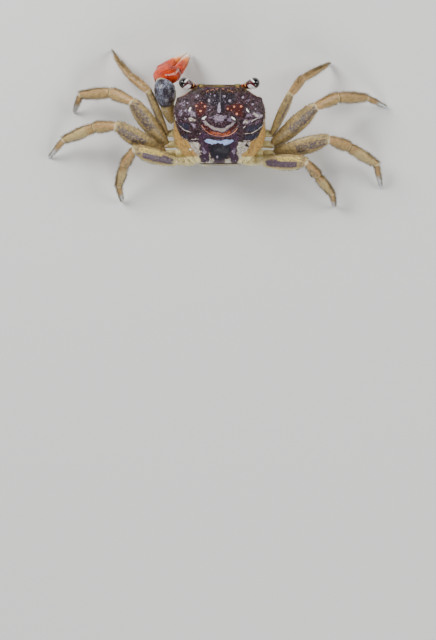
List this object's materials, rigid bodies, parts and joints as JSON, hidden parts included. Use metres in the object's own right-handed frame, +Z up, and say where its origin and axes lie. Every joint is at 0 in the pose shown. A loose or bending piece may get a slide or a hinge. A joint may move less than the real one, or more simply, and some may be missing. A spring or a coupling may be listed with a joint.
{
  "type": "neosarmatium crab",
  "caption": "Life-size still model of a mangrove crab standing on its leg tips, with one orange claw and the other broken off at its base.",
  "frame": {"origin": "on the floor, under the middle of the crab's whole plan, legs included", "axes": "the crab faces -Y, its left side is +X and +Z is up"},
  "size_m": [0.1128, 0.0523, 0.0245],
  "materials": {
    "carapace_shell": "dark purple-black shell with pale lilac and orange spots, satin gloss",
    "belly_shell": "cream shell with bluish and ochre tints, satin",
    "pleon_shell": "blue-grey and cream shell plates, satin",
    "leg_shell": "tan shell with dark mottling and short brown hairs, satin",
    "hip_shell": "cream-yellow shell, satin",
    "foot_shell": "tan paling to a bluish-white horny tip, satin",
    "claw_shell": "red-orange palm, fingers fading through orange to white, glossy",
    "wrist_shell": "dark purple-grey shell with a pale rim, satin",
    "eyestalk_skin": "dark maroon, glossy",
    "cornea": "black, wet gloss",
    "mouth_shell": "grey and pale shell with hairy edges, satin"
  },
  "bodies": {
    "root": {"antenna_left": "mouth_shell", "antenna_right": "mouth_shell", "carapace": "carapace_shell", "cheliped_left_carpus": "wrist_shell", "cheliped_left_dactylus": "claw_shell", "cheliped_left_hip": "hip_shell", "cheliped_left_merus": "leg_shell", "cheliped_left_palm": "claw_shell", "cheliped_right_stump": "hip_shell", "cornea_left": "cornea", "cornea_right": "cornea", "eyestalk_left": "eyestalk_skin", "eyestalk_right": "eyestalk_skin", "leg_left_1_carpus": "leg_shell", "leg_left_1_dactylus": "foot_shell", "leg_left_1_hip": "hip_shell", "leg_left_1_merus": "leg_shell", "leg_left_1_propodus": "leg_shell", "leg_left_2_carpus": "leg_shell", "leg_left_2_dactylus": "foot_shell", "leg_left_2_hip": "hip_shell", "leg_left_2_merus": "leg_shell", "leg_left_2_propodus": "leg_shell", "leg_left_3_carpus": "leg_shell", "leg_left_3_dactylus": "foot_shell", "leg_left_3_hip": "hip_shell", "leg_left_3_merus": "leg_shell", "leg_left_3_propodus": "leg_shell", "leg_left_4_carpus": "leg_shell", "leg_left_4_dactylus": "foot_shell", "leg_left_4_hip": "hip_shell", "leg_left_4_merus": "leg_shell", "leg_left_4_propodus": "leg_shell", "leg_right_1_carpus": "leg_shell", "leg_right_1_dactylus": "foot_shell", "leg_right_1_hip": "hip_shell", "leg_right_1_merus": "leg_shell", "leg_right_1_propodus": "leg_shell", "leg_right_2_carpus": "leg_shell", "leg_right_2_dactylus": "foot_shell", "leg_right_2_hip": "hip_shell", "leg_right_2_merus": "leg_shell", "leg_right_2_propodus": "leg_shell", "leg_right_3_carpus": "leg_shell", "leg_right_3_dactylus": "foot_shell", "leg_right_3_hip": "hip_shell", "leg_right_3_merus": "leg_shell", "leg_right_3_propodus": "leg_shell", "leg_right_4_carpus": "leg_shell", "leg_right_4_dactylus": "foot_shell", "leg_right_4_hip": "hip_shell", "leg_right_4_merus": "leg_shell", "leg_right_4_propodus": "leg_shell", "maxilliped_left": "mouth_shell", "maxilliped_right": "mouth_shell", "pleon_somite_6": "pleon_shell", "pleon_somites_1_to_2": "pleon_shell", "pleon_somites_3_to_5": "pleon_shell", "sternum": "belly_shell", "telson": "pleon_shell"}
  },
  "joints": []
}
